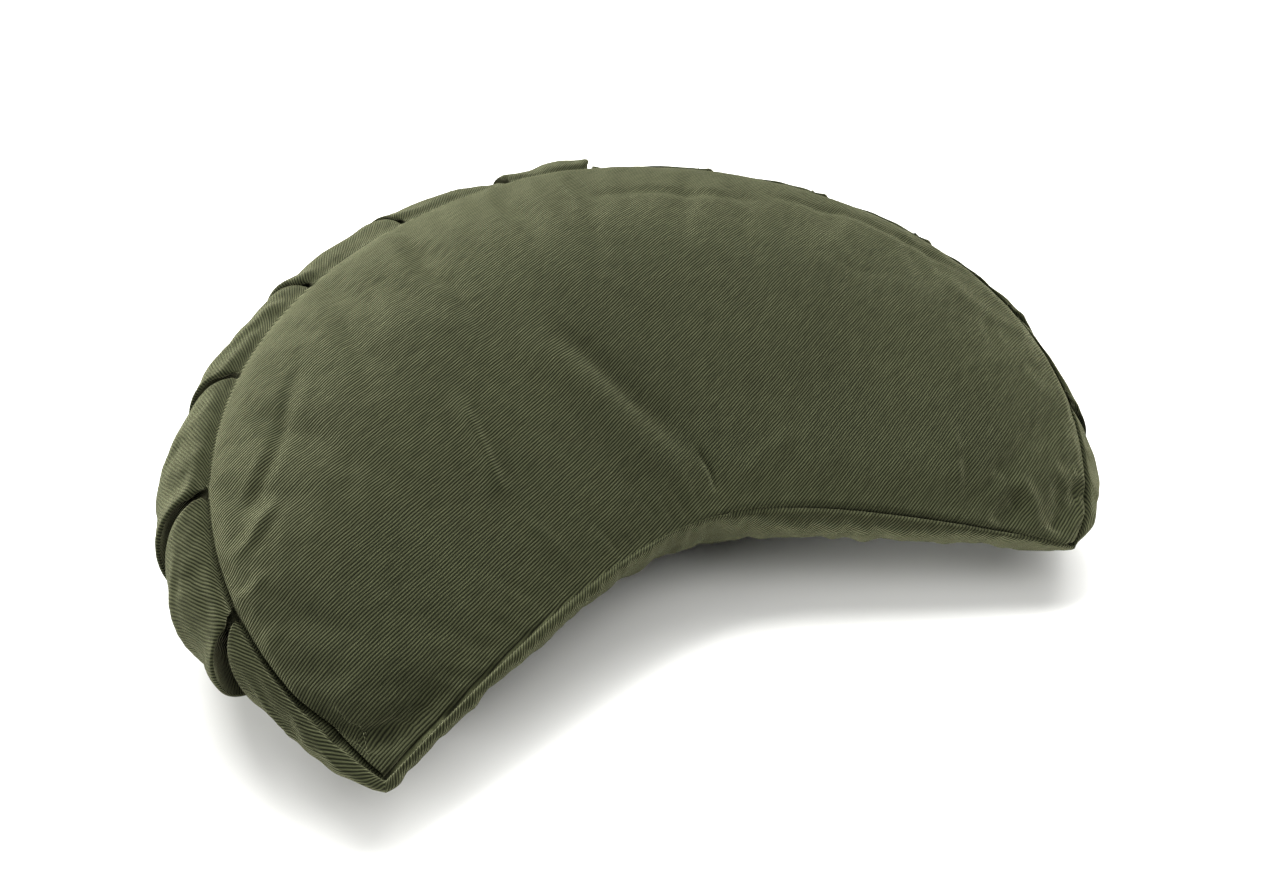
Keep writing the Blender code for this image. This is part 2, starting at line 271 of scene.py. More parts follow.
# Creases of the back band: the same, but each point is how far along the seam it lies,
# less than 0 on the left, and how far down the band.
BAND_CREASES = (
    {"height": 0.0012, "width": 0.005, "path": (
        (-0.284, 0.016), (-0.296, 0.030), (-0.303, 0.046), (-0.309, 0.062))},
    {"height": -0.0010, "width": 0.006, "path": ((-0.276, 0.030), (-0.290, 0.048), (-0.298, 0.064))},
    {"height": 0.0009, "width": 0.005, "path": ((-0.218, 0.016), (-0.233, 0.024), (-0.252, 0.030))},
    {"height": 0.0010, "width": 0.004, "path": ((-0.162, 0.006), (-0.178, 0.011), (-0.196, 0.018))},
    {"height": -0.0009, "width": 0.004, "path": ((-0.160, 0.013), (-0.176, 0.019), (-0.192, 0.028))},
    {"height": 0.0012, "width": 0.006, "path": ((-0.340, 0.016), (-0.356, 0.026), (-0.370, 0.030))},
    {"height": -0.0010, "width": 0.005, "path": ((-0.344, 0.026), (-0.356, 0.034), (-0.368, 0.038))},
)

# The share of a crease's length over which it rises at each end, and its steepness
CREASE_FADE = 0.3
CREASE_FALL = 2.0

# The ridge in which the cloth of a section is drawn towards its pleat's corner: how high
# it is, how wide, how far below the seam it starts and ends, how it bends on the way, and
# the share of the section's width that is left plain before it
GATHER_HEIGHT = 0.0013
GATHER_WIDTH = 0.0034
GATHER_START = 0.0015
GATHER_END = 0.0085
GATHER_BEND = 1.5
GATHER_FROM = 0.30

# The trough above that ridge: its depth, and its place and width as shares of the ridge's
# distance from the seam
GATHER_TROUGH = 0.0004
TROUGH_PLACE = 0.5
TROUGH_WIDTH = 0.3


def linear(hex_colour):
    """Linear red, green and blue of an sRGB hex colour."""
    values = []
    for i in (0, 2, 4):
        part = int(hex_colour[i:i + 2], 16) / 255.0
        values.append(part / 12.92 if part <= 0.04045 else ((part + 0.055) / 1.055) ** 2.4)
    return tuple(values)


class CushionSettings(bpy.types.PropertyGroup):
    """Sizes and colours of the cover."""

    wale: FloatProperty(
        name="Wale", description="From one line of the twill to the next",
        default=0.00115, min=0.0004, max=0.005, unit="LENGTH", precision=4)
    groove: FloatProperty(
        name="Seam groove", description="How deep each seam is drawn in",
        default=0.0022, min=0.0, max=0.005, unit="LENGTH", precision=4)
    pucker: FloatProperty(
        name="Pucker", description="How far the cloth ripples along its seams",
        default=0.0006, min=0.0, max=0.003, unit="LENGTH", precision=4)
    crease: FloatProperty(
        name="Creases", description="Share of their full depth that the creases have",
        default=1.0, min=0.0, max=2.0, subtype="FACTOR")
    pressure: FloatProperty(
        name="Fill", description="How hard the fill presses on the cover",
        default=4.0, min=0.0, max=40.0)
    give: FloatProperty(
        name="Give", description="The most that the fill may move a point of the cover",
        default=0.005, min=0.0, max=0.02, unit="LENGTH", precision=4)
    yarn: FloatVectorProperty(
        name="Yarn", description="Crest of the twill, where its yarn catches the light",
        default=linear("464933"), subtype="COLOR", size=3, min=0.0, max=1.0)
    # The colour between the twill's lines holds shade painted into the weave's valleys
    shade: FloatVectorProperty(
        name="Shade", description="Between the twill's lines",
        default=linear("0a0c05"), subtype="COLOR", size=3, min=0.0, max=1.0)


class StageSettings(bpy.types.PropertyGroup):
    """Camera and light."""

    azimuth: FloatProperty(
        name="Azimuth", description="Where the camera stands round the cushion",
        default=math.radians(-22.62), subtype="ANGLE")
    elevation: FloatProperty(
        name="Elevation", description="How high the camera looks down",
        default=math.radians(37.92), subtype="ANGLE")
    distance: FloatProperty(
        name="Distance", description="From the camera to the point it looks at",
        default=0.5591, unit="LENGTH", precision=4)
    lens: FloatProperty(
        name="Lens", description="Focal length in millimetres on a sensor 36 mm wide",
        default=30.95)
    power: FloatProperty(
        name="Light", description="Share of their full power that the studio lights have",
        default=1.0, min=0.0, subtype="FACTOR")
    sky: FloatProperty(
        name="Surround", description="Strength of the even light from all round",
        default=0.09, min=0.0)


def smooth(part):
    """Ease from 0 to 1."""
    part = min(max(part, 0.0), 1.0)
    return part * part * (3.0 - 2.0 * part)


def tip_pull(s):
    """How far both top seams are drawn back at s, on the way to the right tip."""
    return RIGHT_TIP_PULL * smooth((s - RIGHT_TIP_START) / (1.0 - RIGHT_TIP_START)) ** 2


def seam_arc(s):
    """The even arc that the top seam of the back follows, at s."""
    turn = s * SEAM_TURN
    slope = 1.0 - abs(s) ** SLOPE_POWER
    return Vector((
        SEAM_HALF_WIDTH * math.sin(turn),
        SEAM_HALF_DEPTH * (math.cos(turn) - 1.0),
        TIP_HEIGHT + (BACK_HEIGHT - TIP_HEIGHT) * slope,
    ))


def outer_seam(s):
    """Top seam of the back at s, from -1 at the left tip to 1 at the right tip."""
    return seam_arc(s) + tip_pull(s)


def inner_seam(s):
    """Top seam of the hollow front at s."""
    tip = seam_arc(1.0)
    fall = math.hypot(s, HOLLOW_ROUND) - HOLLOW_ROUND
    fall /= math.hypot(1.0, HOLLOW_ROUND) - HOLLOW_ROUND
    point = Vector((
        tip.x * s,
        tip.y + HOLLOW_DEPTH * (1.0 - fall),
        TIP_HEIGHT + (HOLLOW_HEIGHT - TIP_HEIGHT) * (1.0 - s * s),
    ))
    return point + tip_pull(s)


def outward(s):
    """Level direction out of the back band at s."""
    turn = s * SEAM_TURN
    return Vector((SEAM_HALF_DEPTH * math.sin(turn), SEAM_HALF_WIDTH * math.cos(turn), 0.0)).normalized()


def inward(s):
    """Level direction out of the front band at s, towards the hollow."""
    step = SEAM_SLOPE_STEP
    along = inner_seam(min(s + step, 1.0)) - inner_seam(max(s - step, -1.0))
    return Vector((along.y, -along.x, 0.0)).normalized()


def seam_lengths():
    """Length along the back seam at even steps of s, zero in the middle."""
    steps = [2.0 * i / SEAM_STEPS - 1.0 for i in range(SEAM_STEPS + 1)]
    lengths = [0.0]
    for low, high in zip(steps, steps[1:]):
        lengths.append(lengths[-1] + (seam_arc(high) - seam_arc(low)).xy.length)
    middle = lengths[SEAM_STEPS // 2]
    return steps, [length - middle for length in lengths]


STEPS, LENGTHS = seam_lengths()


def at_length(length):
    """The s of a point that lies this far along the back seam from its middle."""
    length = min(max(length, LENGTHS[0]), LENGTHS[-1])
    i = min(max(bisect.bisect_right(LENGTHS, length), 1), SEAM_STEPS)
    low, high = LENGTHS[i - 1], LENGTHS[i]
    return STEPS[i - 1] + (length - low) / (high - low) * (STEPS[i] - STEPS[i - 1])


def plain_column(length, rise):
    """A line of cloth that runs straight down the band, rise out from its swell."""
    return {
        "sewn": length, "open": length, "home": length, "gap": 0.0, "out": rise, "held": 0.0,
        "fold": 0.0}


def fold_columns(pleat, place):
    """Lines of cloth of a pleat sewn at place: its rolled edge, then back under and out."""
    columns = []
    count = ROLL_STEPS + len(UNDER_LINES)
    for i in range(ROLL_STEPS + 1):
        turn = math.pi * i / ROLL_STEPS
        along = FOLD_RADIUS * (math.sin(turn) - 1.0)
        out = pleat["stand"] - FOLD_RADIUS * (1.0 - math.cos(turn))
        columns.append({"open": place + along, "gap": 0.0, "out": out, "fold": 0.0})
    # Lines further down under the edge get more shade painted into their colour, through their fold value
    for line in UNDER_LINES:
        columns.append({
            "open": place - line["back"] * pleat["tuck"],
            "gap": line["past"] * pleat["gap"],
            "out": pleat["stand"] - line["down"] * pleat["deep"] - (pleat["drop"] if line["past"] else 0.0),
            "fold": smooth(line["down"] / FOLD_SHADE_REACH),
        })
    # The seam holds these lines side by side, and the first lies nearest the middle
    for i, column in enumerate(columns):
        column["sewn"] = place + FOLD_FLAT * (2.0 * i / count - 1.0)
        column["home"] = place
        column["held"] = 1.0
    return columns


def section_columns(start, end, count, lip=0.0):
    """Lines of cloth from one fold to the next, fuller towards the fold it ends at."""
    columns = []
    for i in range(1, count):
        part = i / count
        sewn = start["sewn"] + part * (end["sewn"] - start["sewn"])
        opened = start["open"] + part * (end["open"] - start["open"])
        gap = start["gap"] * (1.0 - part)
        out = start["out"] + smooth(part / EMERGE) * (end["out"] - lip - start["out"])
        columns.append({
            "sewn": sewn, "open": opened, "home": sewn, "gap": gap, "out": out, "held": 0.0,
            "fold": 0.0})
    return columns


def side_columns(side):
    """Lines of cloth down the back band, from the middle of the back to one tip."""
    name = "left" if side < 0 else "right"
    columns = [plain_column(0.0, PLEATS[0]["stand"])]
    for index, pleat in enumerate(PLEATS):
        tilt = CENTRE_TILT * side if index == 0 else 0.0
        fold = fold_columns(dict(pleat, stand=pleat["stand"] + tilt), pleat[name])
        count = max(round((fold[0]["sewn"] - columns[-1]["sewn"]) / COLUMN_STEP), 2)
        columns += section_columns(columns[-1], fold[0], count, FOLD_LIP) + fold
    tip = [plain_column(LENGTHS[-1] - away, 0.0) for away in TIP_LINES + (0.0,)]
    count = round((tip[0]["sewn"] - columns[-1]["sewn"]) / COLUMN_STEP)
    columns += section_columns(columns[-1], tip[0], count) + tip
    for column in columns:
        for key in ("sewn", "open", "home", "gap"):
            column[key] *= side
    return columns


def all_columns():
    """Lines of cloth from the left tip to the right tip."""
    left = side_columns(-1.0)
    return left[:0:-1] + side_columns(1.0)


def rows_between(steps):
    """Shares of the way across a panel, close together beside both of its seams."""
    middle = [EDGE_ROWS[-1] + (1.0 - 2.0 * EDGE_ROWS[-1]) * i / steps for i in range(1, steps)]
    return list(EDGE_ROWS) + middle + [1.0 - row for row in reversed(EDGE_ROWS)]


def tip_share(s, reach):
    """How far a wall at s has turned into the corner of its tip, from 0 to 1."""
    return smooth((abs(s) - 1.0 + reach) / reach)


def tip_outward(s):
    """Level direction out of the corner where the two walls meet."""
    side = math.copysign(1.0, s)
    return (outward(side) + inward(side)).normalized()


def fill_at(s, name):
    """A value of the fill at s, eased from one row of its table to the next."""
    after = next((i for i, row in enumerate(FILL) if row["at"] >= s), len(FILL) - 1)
    low, high = FILL[max(after - 1, 0)], FILL[max(after, 1)]
    return low[name] + smooth((s - low["at"]) / (high["at"] - low["at"])) * (high[name] - low[name])


def wall_frame(s, top, away, tuck, fullness):
    """Upper and lower seam points, way out and fullness of a wall that starts at top."""
    tip_away = tip_outward(s)
    low = top - (away * tuck).lerp(tip_away * TIP_TUCK, tip_share(s, TIP_BLEND))
    low.z = LOWER_SEAM_HEIGHT
    return top, low, away.lerp(tip_away, tip_share(s, TIP_TURN)).normalized(), fullness


def back_frame(s):
    """Frame of the pleated band at s."""
    return wall_frame(s, outer_seam(s), outward(s), BACK_TUCK, fill_at(s, "swell"))


def front_frame(s):
    """Frame of the front band at s."""
    return wall_frame(s, inner_seam(s), inward(s), fill_at(s, "tuck"), fill_at(s, "front"))


def swell(s, row):
    """Share of its full swell that a wall has at row."""
    if not 0.0 < row < 1.0:
        return 0.0
    return math.sin(math.pi * row) ** fill_at(s, "round")


def wall_path(s, sides, row):
    """Point of a smooth wall at row, from 0 at its upper seam to 1 at its lower one."""
    top, low, away, full = sides
    point = top.lerp(low, row ** TUCK_POWER)
    point.z = top.z + (low.z - top.z) * row ** DROP_POWER
    return point + away * (full * swell(s, row))


def wall_normal(s, sides, row):
    """Direction straight out of a smooth wall at row."""
    step = WALL_SLOPE_STEP
    down = wall_path(s, sides, min(row + step, 1.0)) - wall_path(s, sides, max(row - step, 0.0))
    away = sides[2]
    return Vector((away.y, -away.x, 0.0)).cross(down).normalized()


def top_point(column, row):
    """Point of the top panel, row 0 on the back seam and 1 on the front seam."""
    s = at_length(column["sewn"] if row == 0.0 else column["home"])
    point = outer_seam(s).lerp(inner_seam(s), row)
    dome = (4.0 * row * (1.0 - row)) ** CROWN_ROUND * (1.0 + CROWN_SKEW * (1.0 - 2.0 * row))
    point.z += CROWN * dome * (1.0 - abs(s) ** CROWN_END_POWER)
    return point


def lean_at(length):
    """How far the cloth at this length along the seam leans towards its tip."""
    along = abs(length)
    fade = 1.0 - smooth((along - LEAN_FADE) / (LENGTHS[-1] - LEAN_FADE))
    return math.copysign(LEAN * smooth(along / LEAN_START) * fade, length)


def wall_point(column, row):
    """Point of the pleated band, row 0 on the upper seam and 1 on the lower one."""
    down = math.sin(math.pi * row) if 0.0 < row < 1.0 else 0.0
    opened = down ** FOLD_OPENING
    leant = lean_at(column["sewn"]) * down ** LEAN_BEND
    gap = column["gap"] * down ** GAP_OPENING
    s = at_length(column["sewn"] + (column["open"] - column["sewn"]) * opened + gap + leant)
    sides = back_frame(s)
    point = wall_path(s, sides, row)
    if opened:
        point += wall_normal(s, sides, row) * (column["out"] * opened)
    return point


def front_point(column, row):
    """Point of the plain front band, row 0 on the upper seam and 1 on the lower one."""
    s = at_length(column["home"])
    return wall_path(s, front_frame(s), row)


def base_point(column, row):
    """Point of the base, row 0 on the lower back seam and 1 on the lower front one."""
    back = back_frame(at_length(column["sewn"] if row == 0.0 else column["home"]))[1]
    front = front_frame(at_length(column["home"]))[1]
    point = back.lerp(front, row)
    near = min(row, 1.0 - row) * (front - back).length / FOOT_MARGIN
    point.z *= max(1.0 - near, 0.0) ** FOOT_ROUND
    return point


def add_panel(bm, columns, rows, place, wale, plan=False, held=None):
    """Add one panel as a grid of cloth, with its weave laid out flat in metres.

    wale: direction of the twill's lines in the flat cloth. plan: the cloth is laid out as
    seen from above. held: how firmly the panel is kept where it is while the fill presses.
    """
    weave = bm.loops.layers.uv["weave"]
    gap = bm.verts.layers.float["seam_gap"]
    grip = bm.verts.layers.float["grip"]
    part = bm.verts.layers.float["top_share"]
    along = bm.verts.layers.float["along"]
    fall = bm.verts.layers.float["down"]
    fold = bm.verts.layers.float["fold"]
    band = bm.verts.layers.float["band_share"]
    first_vert, first_face = len(bm.verts), len(bm.faces)
    across, down = len(columns) - 1, len(rows) - 1
    bmesh.ops.create_grid(bm, x_segments=across, y_segments=down, size=1.0)
    bm.verts.ensure_lookup_table()
    bm.faces.ensure_lookup_table()
    verts = bm.verts[first_vert:]
    points = np.empty((down + 1, across + 1, 3))
    for index, vert in enumerate(verts):
        j, i = divmod(index, across + 1)
        vert.co = place(columns[i], rows[j])
        points[j, i] = vert.co
        vert.index = index
    runs = np.zeros(points.shape[:2])
    runs[1:] = np.cumsum(np.linalg.norm(np.diff(points, axis=0), axis=2), axis=0)
    steps = np.linalg.norm(np.diff(points, axis=1), axis=2)[down // 3:down // 2 + 1].mean(axis=0)
    sides = np.concatenate([[0.0], np.cumsum(steps)])
    cos, sin = math.cos(wale), math.sin(wale)
    flat = []
    for index, vert in enumerate(verts):
        j, i = divmod(index, across + 1)
        x, y = (points[j, i, 0], points[j, i, 1]) if plan else (sides[i], runs[j, i])
        flat.append((cos * y - sin * x, cos * x + sin * y))
        vert[gap] = min(runs[j, i], runs[-1, i] - runs[j, i])
        vert[grip] = columns[i]["held"] if held is None else held
        vert[part] = 1.0 if place is top_point else 0.0
        vert[along] = columns[i]["sewn"]
        vert[fall] = runs[j, i]
        vert[band] = 1.0 if place is wall_point else 0.0
        # fold: how much shade is painted into the colour here, inside a pleat's fold
        vert[fold] = columns[i]["fold"] if place is wall_point and 0 < j < down else 0.0
    for face in bm.faces[first_face:]:
        for loop in face.loops:
            loop[weave].uv = flat[loop.vert.index]


def sew_tips(bm):
    """Sew the front band's few rows to the back band's many, where they meet at the tips."""
    band = bm.verts.layers.float["band_share"]
    wide = [
        edge for edge in bm.edges if edge.is_boundary
        and not any(vert[band] for vert in edge.link_faces[0].verts if vert not in edge.verts)]
    bmesh.ops.subdivide_edges(bm, edges=wide, cuts=WALL_STEPS // FRONT_STEPS - 1)
    rim = [vert for vert in bm.verts if vert.is_boundary]
    bmesh.ops.remove_doubles(bm, verts=rim, dist=TIP_STITCH)


def sew_cover():
    """Lay out the four panels and sew them into one closed body."""
    columns = all_columns()
    bm = bmesh.new()
    bm.loops.layers.uv.new("weave")
    for name in ("seam_gap", "grip", "top_share", "along", "down", "band_share", "fold"):
        bm.verts.layers.float.new(name)
    add_panel(bm, columns, rows_between(TOP_STEPS), top_point, TOP_WALE, plan=True, held=0.0)
    add_panel(bm, columns, rows_between(WALL_STEPS), wall_point, BAND_WALE)
    add_panel(bm, columns, rows_between(FRONT_STEPS), front_point, FRONT_WALE, held=0.0)
    add_panel(bm, columns, rows_between(BASE_STEPS), base_point, -TOP_WALE, plan=True, held=1.0)
    bmesh.ops.remove_doubles(bm, verts=bm.verts, dist=MERGE)
    sew_tips(bm)
    bmesh.ops.dissolve_degenerate(bm, edges=bm.edges, dist=MERGE)
    bmesh.ops.recalc_face_normals(bm, faces=bm.faces)
    bmesh.ops.translate(bm, verts=bm.verts, vec=SEAM_MIDDLE)
    mesh = bpy.data.meshes.new("crescent_cover")
    bm.to_mesh(mesh)
    bm.free()
    cover = bpy.data.objects.new("crescent_cover", mesh)
    bpy.context.scene.collection.objects.link(cover)
    return cover


# How the fill presses on the cover. The seams and folds are held, the rest gives way.
PRESS_FRAMES = 16
HOLD_MARGIN = 0.0016
HOLD_EASE = 0.0060
CLOTH_GROWTH = -0.012

# How wide the groove of a seam is, and how the cloth puckers beside it: from one ripple to
# the next, how far they reach, and how far off the seam they start. The two panels of a
# seam ripple apart from each other.
GROOVE_WIDTH = 0.0012
PUCKER_STEP = 0.011
PUCKER_REACH = 0.012
PUCKER_START = 0.003
PUCKER_APART = 3.0

# The soft unevenness of the walls: its depth, its length along the band and down it, and
# how far from the seams and above the floor it is at its full depth
BAND_RIPPLE = 0.0011
BAND_RIPPLE_STEP = 0.021
BAND_RIPPLE_DROP = 0.070
BAND_RIPPLE_SLANT = 0.5
BAND_RIPPLE_LAYER = 7.0
BAND_RIPPLE_MARGIN = 0.02
BAND_RIPPLE_FLOOR = 0.03


def values_of(mesh, name):
    """A named number of each point of the mesh."""
    values = np.zeros(len(mesh.vertices), dtype=np.float32)
    mesh.attributes[name].data.foreach_get("value", values)
    return values


def points_of(mesh):
    """Places of the mesh's points."""
    points = np.zeros(3 * len(mesh.vertices), dtype=np.float32)
    mesh.vertices.foreach_get("co", points)
    return points.reshape(-1, 3)


def press_fill(cover, pressure, give):
    """Let the fill press the cover outwards with its seams and folds held, and keep the result."""
    mesh = cover.data
    rest = points_of(mesh)
    near_seam = 1.0 - (values_of(mesh, "seam_gap") - HOLD_MARGIN) / HOLD_EASE
    hold = np.maximum(values_of(mesh, "grip"), np.clip(near_seam, 0.0, 1.0))
    held = cover.vertex_groups.new(name="held")
    for index, weight in enumerate(hold):
        held.add([index], float(weight), "REPLACE")
    cloth = cover.modifiers.new("Fill", "CLOTH")
    settings = cloth.settings
    settings.quality = 6
    settings.mass = 0.15
    settings.tension_stiffness = 20.0
    settings.compression_stiffness = 20.0
    settings.shear_stiffness = 8.0
    settings.bending_stiffness = 0.6
    settings.air_damping = 2.0
    settings.shrink_min = CLOTH_GROWTH
    settings.use_pressure = True
    settings.uniform_pressure_force = pressure
    settings.vertex_group_mass = held.name
    settings.pin_stiffness = 1.0
    settings.effector_weights.gravity = 0.0
    cloth.collision_settings.use_collision = False
    cloth.collision_settings.use_self_collision = False
    cloth.point_cache.frame_start = 1
    cloth.point_cache.frame_end = PRESS_FRAMES
    scene = bpy.context.scene
    for step in range(1, PRESS_FRAMES + 1):
        scene.frame_set(step)
    pressed = points_of(cover.evaluated_get(bpy.context.evaluated_depsgraph_get()).data)
    cover.modifiers.remove(cloth)
    cover.vertex_groups.remove(held)
    scene.frame_set(1)
    moved = pressed - rest
    length = np.maximum(np.linalg.norm(moved, axis=1), 1e-9)
    share = give * np.tanh(length / give) / length * (1.0 - hold)
    mesh.vertices.foreach_set("co", (rest + moved * share[:, None]).ravel())
    mesh.update()


def round_off(cover):
    """Subdivide the cover once, for good."""
    rounding = cover.modifiers.new("Round", "SUBSURF")
    rounding.levels = rounding.render_levels = 1
    view = bpy.context.evaluated_depsgraph_get()
    mesh = bpy.data.meshes.new_from_object(
        cover.evaluated_get(view), preserve_all_data_layers=True, depsgraph=view)
    cover.modifiers.clear()
    old = cover.data
    cover.data = mesh
    bpy.data.meshes.remove(old)
    mesh.name = "crescent_cover"


def along_path(plan, path):
    """Distance of each point of a plan from a path, and its share of the way along it."""
    nodes = np.array(path)
    runs = np.linalg.norm(np.diff(nodes, axis=0), axis=1)
    starts = np.concatenate([[0.0], np.cumsum(runs)])
    distance = np.full(len(plan), np.inf)
    share = np.zeros(len(plan))
    for start, end, run, before in zip(nodes, nodes[1:], runs, starts):
        part = np.clip((plan - start) @ (end - start) / run ** 2, 0.0, 1.0)
        here = np.linalg.norm(plan - start - part[:, None] * (end - start), axis=1)
        nearer = here < distance
        distance[nearer] = here[nearer]
        share[nearer] = (before + part[nearer] * run) / starts[-1]
    return distance, share


def crease_heights(creases, plan):
    """How far the creases raise each point of a panel."""
    heights = np.zeros(len(plan))
    for crease in creases:
        distance, share = along_path(plan, crease["path"])
        fade = np.clip(np.minimum(share, 1.0 - share) / CREASE_FADE, 0.0, 1.0)
        fade = fade * fade * (3.0 - 2.0 * fade)
        shape = np.exp(-CREASE_FALL * (distance / crease["width"]) ** 2)
        heights += crease["height"] * fade * shape
    return heights


def gather_heights(along, down):
    """How far cloth that is drawn towards a pleat stands up, in a ridge that ends at its edge."""
    heights = np.zeros(len(along))
    for name, side in (("left", -1.0), ("right", 1.0)):
        before = 0.0
        for pleat in PLEATS:
            share = (side * along - before) / (pleat[name] - before)
            part = np.clip((share - GATHER_FROM) / (1.0 - GATHER_FROM), 0.0, 1.0)
            line = GATHER_START + (GATHER_END - GATHER_START) * part ** GATHER_BEND
            ridge = GATHER_HEIGHT * np.exp(-((down - line) / GATHER_WIDTH) ** 2)
            away = (down - TROUGH_PLACE * line) / (TROUGH_WIDTH * line)
            trough = GATHER_TROUGH * np.exp(-away ** 2)
            heights += np.where(share < 1.0, part * (ridge - trough), 0.0)
            before = pleat[name]
    return heights


def dress_seams(cover, settings):
    """Draw in the seams, ripple the cloth beside them and lay in the creases."""
    mesh = cover.data
    points = points_of(mesh)
    normals = np.zeros(3 * len(points), dtype=np.float32)
    mesh.vertex_normals.foreach_get("vector", normals)
    normals = normals.reshape(-1, 3)
    gap, top, along, down, band = (
        values_of(mesh, name) for name in ("seam_gap", "top_share", "along", "down", "band_share"))
    ripple = np.array([
        noise.noise(Vector((a / PUCKER_STEP, PUCKER_APART * t, 0.0))) for a, t in zip(along, top)])
    beside = np.exp(-gap / PUCKER_REACH) * (1.0 - np.exp(-(gap / PUCKER_START) ** 2))
    soft = np.array([
        noise.noise(Vector((
            a / BAND_RIPPLE_STEP + BAND_RIPPLE_SLANT * z / BAND_RIPPLE_DROP,
            z / BAND_RIPPLE_DROP,
            BAND_RIPPLE_LAYER,
        )))
        for a, z in zip(along, points[:, 2])])
    free = np.clip(gap / BAND_RIPPLE_MARGIN, 0.0, 1.0) * np.clip(points[:, 2] / BAND_RIPPLE_FLOOR, 0.0, 1.0)
    # Blender's noise runs from about -0.5 to 0.5, so it is doubled
    rise = 2.0 * settings.pucker * ripple * beside
    rise += 2.0 * BAND_RIPPLE * soft * (1.0 - top) * free
    plan = points[:, :2] - np.array(SEAM_MIDDLE.xy)
    rise += settings.crease * crease_heights(CREASES, plan) * top
    rise += settings.crease * crease_heights(BAND_CREASES, np.stack([along, down], axis=1)) * band
    rise += gather_heights(along, down) * band
    places = [row["at"] for row in FILL]
    drawn = np.interp(along / LENGTHS[-1], places, [row["groove"] for row in FILL])
    rise -= settings.groove * drawn * np.exp(-(gap / GROOVE_WIDTH) ** 2)
    points += normals * rise[:, None]
    points[:, 2] = np.maximum(points[:, 2], 0.0)
    mesh.vertices.foreach_set("co", points.ravel())
    mesh.update()
    mesh.shade_smooth()


def add_node(tree, kind, values=None, links=None, **settings):
    """Add a node with its settings, its inputs' values and its links."""
    node = tree.nodes.new(kind)
    for name, value in settings.items():
        setattr(node, name, value)
    for name, value in (values or {}).items():
        node.inputs[name].default_value = value
    for name, source in (links or {}).items():
        tree.links.new(source, node.inputs[name])
    return node


# A wave texture of scale 1 repeats after this length, in metres
WAVE_LENGTH = 0.314159

# The twill: how far its lines wander from straight, and the scale of the noise that moves
# them; the angle at which yarns lie aslant in a line, how many of them go to a wale, and how
# strong they are beside the line itself; and the height of a line
WANDER = 0.0012
WANDER_SCALE = 55.0
YARN_ANGLE = math.radians(62.0)
YARNS_TO_A_WALE = 2.6
YARN_SHARE = 0.22
LINE_HEIGHT = 0.00035

# Width and length of the thick and thin places of the yarn
SLUB_SIZE = (0.0011, 0.011)

# The scale of the noise of dye and wear: its places are about 7 cm wide
MOTTLE_SCALE = 14.0

# What is left of the colour's brightness deep in a fold, where shade is painted into the colour
FOLD_SHADE_TONE = 0.05


